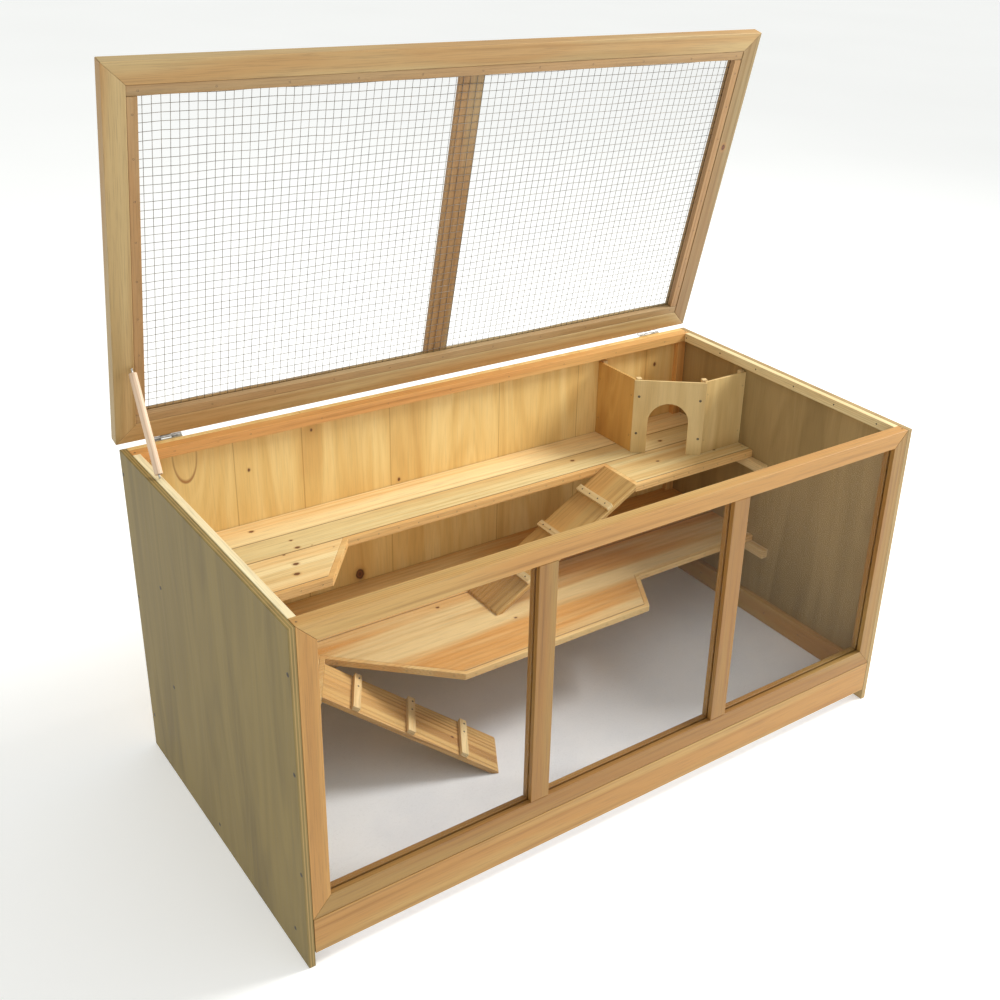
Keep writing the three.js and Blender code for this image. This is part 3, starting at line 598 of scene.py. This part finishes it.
# The two rails' tones differ only by painted light and shade: the left one is paler. Both are the same
# pine.
TRIM_TONES = {
    "left": ("#fdf0c4", "#f7e3b1", "#ebcf99"),
    "right": ("#ebd8a6", "#e3cb95", "#d5b87f"),
}
BACK_RAIL_TONES = ("#dfae6a", "#d5a15d", "#c6904c")
pine_board("top_rail_back", BACK_RAIL_TONES, (1, 0, 0), (0, -1, 0), knots=[(-430, 255.4, 551, 2)])
for side in ("left", "right"):
    pine_board("top_rail_" + side, TRIM_TONES[side], (0, 1, 0), (0, 0, 1), ring=3.5, warm=0.25)
    pine_board("corner_post_" + side, BACK_RAIL_TONES, (0, 0, 1), (0, -1, 0))
pine_board("kick_board_right", FRAME_TONES, (0, 1, 0), (-1, 0, 0), ring=5.0, waver=6.0)
# The rails' and the kick board's inner faces, and the height of the rails' middle.
BACK_RAIL_FACE = 255.4 * MM
SIDE_RAIL_FACE = 552.9 * MM
RAIL_MIDDLE = 551.5 * MM
trim_pins = [((x * MM, BACK_RAIL_FACE + PIN_SINK, RAIL_MIDDLE), (0, -1, 0))
             for x in range(-500, 501, 125)]
trim_pins += [((SIDE_RAIL_FACE + PIN_SINK, y * MM, RAIL_MIDDLE), (-1, 0, 0))
              for y in range(-250, 251, 100)]
trim_pins += [((-SIDE_RAIL_FACE - PIN_SINK, y * MM, RAIL_MIDDLE), (1, 0, 0))
              for y in range(-250, 251, 100)]
trim_pins += [((side * 559 * MM, y * MM, 559.8 * MM), (0, 0, 1))
              for side in (-1, 1) for y in (-300, 262)]
trim_pins += [((SIDE_RAIL_FACE + PIN_SINK, y * MM, 58 * MM), (-1, 0, 0))
              for y in range(-240, 251, 95)]
drive("trim_nails", nail, trim_pins, "cage")

# ---------------------------------------------------------------------------------------
# The upper shelf: pine boards laid edge to edge on two cleats, with a strip pinned along
# its stepped front. The wider left end has a group of small dark knots.

SHELF_TONES = ("#e4cf99", "#dbc084", "#caa562")
# The paler copy, on the back and left boards, is painted light where light falls fullest on the shelf.
# The pine is the same.
PAINTED_LIGHT_SHELF_TONES = ("#f6e0ab", "#eed197", "#dcb46f")
UPPER = 382
LENGTHWISE = {"along": (1, 0, 0), "out": (0, 0, 1), "edge": 1.0, "lines": 0.6}
pine_board("upper_shelf_back", PAINTED_LIGHT_SHELF_TONES, ring=7, warm=0.35, joints=True, knots=[
    (-391, 245, UPPER, 3.5)], **LENGTHWISE)
pine_board("upper_shelf_middle", SHELF_TONES, ring=8, warm=0.35, joints=True, knots=[
    (-349, 184, UPPER, 2.5), (-350, 157, UPPER, 3.6), (-327, 152, UPPER, 1.5),
    (434, 172, UPPER, 3.5), (230, 189, UPPER, 3.5)], **LENGTHWISE)
pine_board("upper_shelf_left", PAINTED_LIGHT_SHELF_TONES, ring=7, warm=0.4, joints=True, knots=[
    (-379, 146, UPPER, 2.2), (-375, 110, UPPER, 4.0), (-387, 81, UPPER, 4.2),
    (-300, 128, UPPER, 1.5), (-455, 118, UPPER, 2.0)], **LENGTHWISE)
pine_board("upper_shelf_right", SHELF_TONES, ring=7, warm=0.5, joints=True, knots=[
    (369, 102, UPPER, 3.0), (498, 84, UPPER, 2.5)], **LENGTHWISE)
EDGING_TONES = ("#e6c284", "#dbb172", "#cc9c5b")
pine_board("upper_shelf_edging", EDGING_TONES, warm=0.4, **LENGTHWISE)
CLEAT_TONES = ("#e8cd98", "#dfc088", "#d0ab6e")
for side in ("left", "right"):
    pine_board("upper_shelf_cleat_" + side, CLEAT_TONES, (0, 1, 0), (0, 0, 1), warm=0.2)


def pins_along(corners, height, spacing):
    """Pins driven square into the front of a strip, about `spacing` apart, in millimetres."""
    places = []
    for (x0, y0), (x1, y1) in zip(corners, corners[1:]):
        length = math.hypot(x1 - x0, y1 - y0)
        count = max(2, round(length / spacing))
        out = Vector((y1 - y0, x0 - x1, 0)) / length
        for step in range(count):
            share = (step + 0.5) / count
            point = Vector((x0 + (x1 - x0) * share, y0 + (y1 - y0) * share, height)) * MM
            places.append((point - out * PIN_SINK, out))
    return places


# The strip's front line, from the left wall to the right wall, and pins into each cleat.
UPPER_LINE = [(-564, 40.9), (-345, 40.9), (-269, 139.4), (268, 139.4), (268, 43.9), (564, 43.9)]
upper_pins = pins_along(UPPER_LINE, 375, 38)
upper_pins += [((x * MM, y * MM, UPPER * MM - PIN_SINK), (0, 0, 1))
               for x in (-556, 556) for y in (66, 118, 165, 195, 225, 250)]
drive("upper_shelf_nails", nail, upper_pins, "cage")

# ---------------------------------------------------------------------------------------
# The lower shelf: a straight back board and a front board sawn to a shape, in pine. Cleats
# carry it, and a pinned strip edges it, as on the upper shelf.

LOWER = 204
LOWER_TONES = ("#e6c890", "#d9b276", "#c49452")
LOWER_WAY = dict(LENGTHWISE, lines=0.32)
pine_board("lower_shelf_back", LOWER_TONES, ring=8, warm=0.75, joints=True, **LOWER_WAY)
pine_board("lower_shelf_front", LOWER_TONES, ring=10, warm=0.85, joints=True, knots=[
    (-108, 122, LOWER, 3.0), (-10, 20, LOWER, 2.5)], **LOWER_WAY)
pine_board("lower_shelf_edging", EDGING_TONES, warm=0.4, **LENGTHWISE)
for side in ("left", "right"):
    pine_board("lower_shelf_cleat_" + side, CLEAT_TONES, (0, 1, 0), (0, 0, 1), warm=0.2)
LOWER_LINE = [(-564, -7.1), (-397, -7.1), (-345, 85.9), (-174, -77.1), (216, -77.1),
              (268, 15.9), (564, 15.9)]
lower_pins = pins_along(LOWER_LINE, 198, 38)
lower_pins += [((x * MM, y * MM, LOWER * MM - PIN_SINK), (0, 0, 1))
               for x in (-556, 556) for y in (35, 80, 125, 165, 210, 245)]
drive("lower_shelf_nails", nail, lower_pins, "cage")

# ---------------------------------------------------------------------------------------
# The two ramps: one planed pine board each, with three paler cleats pinned across it as
# footholds. Each stands on the surface below and leans on the edging of the shelf above.

RAMP_TONES = ("#d3ac6b", "#c39754", "#a3753a")
slope = math.radians(30)
upper_along = (math.cos(slope), 0, math.sin(slope))
upper_out = (-math.sin(slope), 0, math.cos(slope))
pine_board("upper_ramp_board", RAMP_TONES, upper_along, upper_out, ring=7, warm=0.35)
for cleat in (1, 2, 3):
    pine_board("upper_ramp_cleat_%d" % cleat, CLEAT_TONES, (0, 1, 0), upper_out, warm=0.25)
# The lower ramp climbs towards the notch in the lower shelf, turned 148 degrees from +X.
slope = math.radians(30.5)
ramp_heading = math.radians(148)
uphill = Vector((math.cos(ramp_heading), math.sin(ramp_heading), 0))
lower_along = uphill * math.cos(slope) + Vector((0, 0, math.sin(slope)))
lower_out = -uphill * math.sin(slope) + Vector((0, 0, math.cos(slope)))
pine_board("lower_ramp_board", RAMP_TONES, lower_along, lower_out, ring=7, warm=0.35,
           knots=[(-190, -75, 95, 2.6)])
lower_side = uphill.cross(Vector((0, 0, 1)))
for cleat in (1, 2, 3):
    pine_board("lower_ramp_cleat_%d" % cleat, CLEAT_TONES, lower_side, lower_out, warm=0.25)
CLEAT_HALF_THICK = 4 * MM
for ramp, side_way, out in (("upper", Vector((0, 1, 0)), Vector(upper_out)),
                            ("lower", lower_side, lower_out)):
    ramp_pins = []
    for cleat in (1, 2, 3):
        low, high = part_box("%s_ramp_cleat_%d" % (ramp, cleat))
        top = (low + high) / 2 + out * (CLEAT_HALF_THICK - PIN_SINK)
        ramp_pins += [(top + side_way * (offset * MM), out) for offset in (-34, -12, 12, 34)]
    drive(ramp + "_ramp_nails", nail, ramp_pins, ramp + "_ramp")

# ---------------------------------------------------------------------------------------
# The corner house: three walls of 4 mm poplar ply, with no roof. The front stands at a
# slant between the other two and has an arched door.

HOUSE_TONES = ("#dcbf84", "#d0b074", "#bf9b60")
# The left wall's darker copy is painted shade, on the wall that faces away from the key lamp. Its ply
# is the same as the other walls'.
PAINTED_SHADE_HOUSE_TONES = ("#d5a65c", "#c8964d", "#b5823f")
# The front wall comes 82 mm forwards in 110 mm to the right.
front_turn = math.atan2(-82, 110)
front_out = (math.sin(front_turn), -math.cos(front_turn), 0)
dress("house_wall_left", poplar_ply("house_left_wall_poplar_ply", "house_wall_left",
      PAINTED_SHADE_HOUSE_TONES, (0, 0, 1), (-1, 0, 0), 5.3), 0.4 * MM)
dress("house_wall_right", poplar_ply("house_right_wall_poplar_ply", "house_wall_right",
      HOUSE_TONES, (0, 0, 1), (0, -1, 0), 6.9), 0.4 * MM)
dress("house_wall_front", poplar_ply("house_front_poplar_ply", "house_wall_front",
      HOUSE_TONES, (0, 0, 1), front_out, 2.2), 0.4 * MM)

# A square pine block is glued up each inner corner, and the walls are fixed to it. The two
# at the front wall's ends are turned about half as far as that wall.
BLOCK = 10 * MM
BLOCK_HEIGHT = 151 * MM
BLOCK_MIDDLE = 458 * MM
HOUSE_BLOCKS = {
    "back_left": ((359.5, 269.8), 0),
    "front_left": ((360.5, 164.5), -0.32),
    "front_right": ((464.5, 95.5), -0.32),
    "back_right": ((559.4, 94.3), 0),
}
block_pine = pine("house_block_pine", CLEAT_TONES, (0, 0, 1), (0, -1, 0), (0.4, 0.15, 0.45),
                  (0.02, 0.05), 17.0, 3 * MM, 2.0, (), 0.2)
for corner, ((x, y), turn) in HOUSE_BLOCKS.items():
    bpy.ops.object.select_all(action="DESELECT")
    bpy.ops.mesh.primitive_cube_add(size=1, location=(x * MM, y * MM, BLOCK_MIDDLE))
    block = bpy.context.object
    block.name = "house_block_" + corner
    block.rotation_euler = (0, 0, turn)
    block.scale = (BLOCK, BLOCK, BLOCK_HEIGHT)
    settle(block)
    bpy.ops.object.mode_set(mode="EDIT")
    bpy.ops.mesh.select_all(action="SELECT")
    bpy.ops.mesh.bevel(offset=0.9 * MM, segments=2, affect="EDGES")
    bpy.ops.object.mode_set(mode="OBJECT")
    block.data.materials.append(block_pine)
    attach(block, "house")

# Screws go through the front wall: how far along it and how high up, from its left foot.
small_screw = sunk_screw("loose_small_screw", 2.5 * MM, dark_steel)
front_start = Vector((350, 163.863, 382.3))
SMALL_SCREW_OUT = 3.6 * MM
front_along = Vector((math.cos(front_turn), math.sin(front_turn), 0))
house_screws = []
for along, height in ((10, 117), (127, 113), (9, 41), (129, 34)):
    point = front_start + front_along * along + Vector((0, 0, height))
    house_screws.append((point * MM + Vector(front_out) * SMALL_SCREW_OUT, front_out))
drive("house_front_screws", small_screw, house_screws, "house")
LEFT_WALL_FACE = 350 * MM
RIGHT_WALL_FACE = 84.9 * MM
house_pins = [((LEFT_WALL_FACE + PIN_SINK, y * MM, z * MM), (-1, 0, 0))
              for y in (171, 268) for z in (415, 498)]
house_pins += [((x * MM, RIGHT_WALL_FACE + PIN_SINK, z * MM), (0, -1, 0))
               for x in (467, 558) for z in (410, 505)]
drive("house_nails", nail, house_pins, "house")

# ---------------------------------------------------------------------------------------
# The lid's frame: four mitred pine members with a rebate behind them for the mesh, which
# four thin battens hold in. A flat bar crosses the opening behind the mesh.

LID_ANGLE = -76.6
HINGE_LINE = Vector((0, 291.363 * MM, 562.65 * MM))
lid_turn = Matrix.Rotation(math.radians(LID_ANGLE), 3, "X")
lid_place = Matrix.Translation(HINGE_LINE) @ lid_turn.to_4x4()
lid_up = lid_turn @ Vector((0, -1, 0))
lid_face = lid_turn @ Vector((0, 0, -1))
LID_TONES = ("#bda270", "#b49765", "#a98a57")
# The right stile's darker copy is painted shade. Its pine is the same as the other lid members'.
PAINTED_SHADE_LID_TONES = ("#9e865b", "#967d51", "#8c7346")
BATTEN_TONES = ("#b4966a", "#ab8a5a", "#9e7b4c")
for rail in ("front", "back"):
    pine_board("lid_rail_" + rail, LID_TONES, (1, 0, 0), lid_face, ring=4.5)
    pine_board("lid_batten_" + rail, BATTEN_TONES, (1, 0, 0), lid_face, warm=0.3)
for side in ("left", "right"):
    knot = lid_place @ Vector((557 * MM, -389 * MM, 0)) / MM
    knots = [(*knot, 5)] if side == "right" else []
    tones = PAINTED_SHADE_LID_TONES if side == "right" else LID_TONES
    pine_board("lid_stile_" + side, tones, lid_up, lid_face, ring=4.5, knots=knots)
    pine_board("lid_batten_" + side, BATTEN_TONES, lid_up, lid_face, warm=0.5)
pine_board("lid_centre_bar", BATTEN_TONES, lid_up, lid_face, warm=0.5)
# Pins through the battens, in the closed lid's own frame. The hinge line is at y = 0, and
# the lid's front edge lies towards -Y.
BATTEN_FACE = 0.8 * MM
batten_pins = [(x, y) for y in (-43, -562) for x in range(-530, 531, 106)]
batten_pins += [(x, y) for x in (-538, 538) for y in range(-530, -60, 62)]
drive("lid_batten_nails", nail, [
    (lid_place @ Vector((x * MM, y * MM, BATTEN_FACE + PIN_SINK)), lid_face) for x, y in batten_pins
], "lid")

# ---------------------------------------------------------------------------------------
# The mesh: half-inch welded wire, 0.88 mm thick, galvanised after welding. The wires of one
# layer are pressed a little into those of the other, and the sheet is not quite flat.

PITCH = 12.7 * MM
WIRE = 0.44 * MM
MESH_HALF_X = 545.2 * MM
MESH_HALF_Y = 267.0 * MM
MESH_MIDDLE_Y = -302.5 * MM
CROSS_HEIGHT = 12.15 * MM
LONG_HEIGHT = 12.82 * MM

# Dull galvanised wire: the zinc has weathered to a pale brownish grey that hardly shines.
dull_zinc = new_material("weathered_galvanised_wire")
tree = dull_zinc.node_tree
place = add_node(tree, "TexCoord", {}).outputs["Object"]
bloom = add_node(tree, "TexNoise", {"Vector": place, "Scale": 40.0, "Detail": 3.0})
coat = add_node(tree, "ValToRGB", {"Fac": bloom},
                stops=[(0.35, linear("#78726a")), (0.7, linear("#a29b91"))])
gloss = add_node(tree, "MapRange", {"Value": bloom, "To Min": 0.5, "To Max": 0.7})
relief = add_node(tree, "Bump", {"Height": bloom, "Strength": 0.15, "Distance": 0.1 * MM})
surface = add_node(tree, "BsdfPrincipled", {
    "Base Color": coat, "Roughness": gloss, "Normal": relief, "Metallic": 0.6})
add_node(tree, "OutputMaterial", {"Surface": surface})


def apply_modifiers(piece):
    """Applies every modifier of a piece, in order."""
    bpy.ops.object.select_all(action="DESELECT")
    piece.select_set(True)
    bpy.context.view_layer.objects.active = piece
    for modifier in list(piece.modifiers):
        bpy.ops.object.modifier_apply(modifier=modifier.name)


def wire_layer(name, turn, half_length, half_spread, height, cuts):
    """One layer of parallel wires: a single wire, cut across at even steps, then arrayed."""
    count = int(2 * half_spread / PITCH)
    first = -(count - 1) / 2 * PITCH
    bpy.ops.object.select_all(action="DESELECT")
    bpy.ops.mesh.primitive_cylinder_add(
        vertices=6, radius=WIRE, depth=2 * half_length, rotation=(0, math.radians(90), 0))
    wire = bpy.context.object
    wire.name = name
    bpy.ops.object.transform_apply(location=True, rotation=True, scale=True)
    bpy.ops.object.mode_set(mode="EDIT")
    mesh = bmesh.from_edit_mesh(wire.data)
    for edge in mesh.edges:
        edge.select = abs(edge.verts[0].co.x - edge.verts[1].co.x) > half_length
    bmesh.update_edit_mesh(wire.data)
    bpy.ops.mesh.subdivide(number_cuts=cuts)
    bpy.ops.object.mode_set(mode="OBJECT")
    row = wire.modifiers.new("row", "ARRAY")
    row.count = count
    row.use_relative_offset = False
    row.use_constant_offset = True
    row.constant_offset_displace = (0, PITCH, 0)
    apply_modifiers(wire)
    wire.location = (0, first, 0)
    settle(wire)
    wire.rotation_euler = (0, 0, turn)
    wire.location = (0, MESH_MIDDLE_Y, height)
    settle(wire)
    return wire


# Cuts about 25 mm apart let the wires bend.
cross_wires = wire_layer("lid_wire_mesh", 0, MESH_HALF_X, MESH_HALF_Y, CROSS_HEIGHT, 43)
long_wires = wire_layer("long_wires", math.radians(90), MESH_HALF_Y, MESH_HALF_X, LONG_HEIGHT, 21)
bpy.ops.object.select_all(action="DESELECT")
long_wires.select_set(True)
cross_wires.select_set(True)
bpy.context.view_layer.objects.active = cross_wires
bpy.ops.object.join()
wire_mesh = bpy.context.object
ripple = bpy.data.textures.new("mesh_ripple", "CLOUDS")
ripple.noise_scale = 0.09
buckle = wire_mesh.modifiers.new("buckle", "DISPLACE")
buckle.texture = ripple
buckle.texture_coords = "LOCAL"
buckle.direction = "Y"
buckle.strength = 5 * MM
buckle.mid_level = 0.5
apply_modifiers(wire_mesh)
bpy.ops.object.shade_smooth()
wire_mesh.data.materials.append(dull_zinc)
wire_mesh.matrix_world = lid_place
settle(wire_mesh)
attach(wire_mesh, "lid")
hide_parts("lid_mesh")

# ---------------------------------------------------------------------------------------
# The two butt hinges: pressed steel, plated with zinc, so bright with a cloudy bloom. One
# leaf is screwed to the back panel's outer face and the other to the lid's heel.

plated = zinc.copy()
plated.name = "zinc_plated_hinge_steel"
HINGE_SCREW_SINK = 0.5 * MM
BACK_LEAF_FACE = 285.363 * MM + 1.2 * MM
HEEL_LEAF_FACE = -1.8 * MM
heel_out = lid_turn @ Vector((0, 1, 0))
hinge_screw = sunk_screw("loose_hinge_screw", 2.4 * MM, plated)
for side in ("left", "right"):
    dress("hinge_%s_carcass_leaf" % side, plated, 0)
    dress("hinge_%s_lid_leaf" % side, plated, 0)
    low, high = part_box("hinge_%s_carcass_leaf" % side)
    middle = (low.x + high.x) / 2
    screw_line = [middle + offset * MM for offset in (-17, 0, 17)]
    drive("hinge_%s_carcass_screws" % side, hinge_screw, [
        ((x, BACK_LEAF_FACE - HINGE_SCREW_SINK, 546 * MM), (0, 1, 0)) for x in screw_line
    ], "cage")
    drive("hinge_%s_lid_screws" % side, hinge_screw, [
        (lid_place @ Vector((x, HEEL_LEAF_FACE - HINGE_SCREW_SINK, 10.5 * MM)), heel_out)
        for x in screw_line
    ], "lid")

# ---------------------------------------------------------------------------------------
# The prop: a turned beech dowel, 12 mm thick, with its ends sawn square. A steel pin in
# each end is bent over at its tip: one points at the lid, the other at the side rail.

prop_foot = Vector((-559.5, 152.863, 561.6)) * MM
prop_top = lid_place @ (Vector((-551, -141, -2)) * MM)
prop_axis = (prop_top - prop_foot).normalized()
prop_length = (prop_top - prop_foot).length
stand = Matrix.Translation(prop_foot) @ prop_axis.to_track_quat("Z", "Y").to_matrix().to_4x4()
DOWEL_RADIUS = 6.0 * MM
DOWEL_START = 7 * MM
DOWEL_END = prop_length - 9 * MM
EDGE_BREAK = 0.7 * MM
END_RING = 3.6 * MM
END_DEPTH = 6 * MM

# Turned beech, sanded: pale and faintly pink, with rings 2.5 mm apart.
beech = pine("prop_turned_beech", ("#f0d6ba", "#ecccad", "#e2bd99"), prop_axis,
             prop_axis.orthogonal(), prop_foot, (0.004, 0.02), 31.0, 2.5 * MM, 1.5, (), 0.1)
bpy.ops.object.select_all(action="DESELECT")
bpy.ops.mesh.primitive_cylinder_add(
    vertices=40, radius=DOWEL_RADIUS, depth=DOWEL_END - DOWEL_START,
    location=(0, 0, (DOWEL_START + DOWEL_END) / 2))
dowel = bpy.context.object
dowel.name = "prop_turned_dowel"
settle(dowel)
bpy.ops.object.mode_set(mode="EDIT")
# The sawn ends get a broken edge, and all that is inside it is sunk, round the pin.
pick(dowel, lambda face: abs(face.normal.z) > 0.9)
bpy.ops.mesh.bevel(offset=EDGE_BREAK, segments=2, affect="EDGES")
pick(dowel, lambda face: abs(face.normal.z) > 0.99)
bpy.ops.mesh.inset(thickness=END_RING, use_individual=True)
for way in (-1, 1):
    pick(dowel, lambda face: face.normal.z * way > 0.99)
    bpy.ops.mesh.extrude_region_move(TRANSFORM_OT_translate={"value": (0, 0, -way * END_DEPTH)})
bpy.ops.object.mode_set(mode="OBJECT")
bpy.ops.object.shade_smooth_by_angle(angle=math.radians(40))
dowel.data.materials.append(beech)
dowel.matrix_world = stand
settle(dowel)
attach(dowel, "prop")
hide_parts("prop_dowel")

# The hooks: 2.8 mm pins, each cut HOOK_SHORT shorter than its way to the wood it points at.
HOOK_RADIUS = 1.4 * MM
HOOK_SUNK = 5 * MM
HOOK_STRAIGHT = 2 * MM
HOOK_SHORT = 1 * MM
for end, seat, bare, way in (("lower", DOWEL_START, DOWEL_START, -1),
                             ("upper", DOWEL_END, prop_length - DOWEL_END, 1)):
    bent = bare - HOOK_STRAIGHT - HOOK_SHORT
    whole = HOOK_SUNK + HOOK_STRAIGHT + bent
    bpy.ops.object.select_all(action="DESELECT")
    bpy.ops.mesh.primitive_cylinder_add(
        vertices=12, radius=HOOK_RADIUS, depth=whole, location=(0, 0, bent - whole / 2))
    hook = bpy.context.object
    hook.name = "prop_hook_" + end
    settle(hook)
    bpy.ops.object.mode_set(mode="EDIT")
    pick(hook, lambda edge: abs(edge.verts[0].co.z - edge.verts[1].co.z) > 3 * MM, "edges")
    bpy.ops.mesh.subdivide(number_cuts=17)
    pick(hook, lambda face: face.normal.z > 0.9)
    bpy.ops.mesh.bevel(offset=0.5 * MM, segments=2, affect="EDGES")
    bpy.ops.object.mode_set(mode="OBJECT")
    # The bend starts at the pin's own origin, and the part sunk in the dowel stays straight.
    bend = hook.modifiers.new("bend", "SIMPLE_DEFORM")
    bend.deform_method = "BEND"
    bend.deform_axis = "X"
    bend.angle = math.radians(45)
    bend.limits = (1 - bent / whole, 1)
    apply_modifiers(hook)
    bpy.ops.object.shade_smooth_by_angle(angle=math.radians(50))
    hook.data.materials.append(zinc)
    turn_over = Matrix.Rotation(math.pi, 4, "X") if way < 0 else Matrix.Identity(4)
    hook.matrix_world = stand @ Matrix.Translation((0, 0, seat + way * HOOK_STRAIGHT)) @ turn_over
    settle(hook)
    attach(hook, "prop")
    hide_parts("prop_pin_" + end)

# ---------------------------------------------------------------------------------------
# The loose fasteners that were copied are thrown away.

for loose in (screw, nail, small_screw, hinge_screw):
    bpy.data.objects.remove(loose, do_unlink=True)
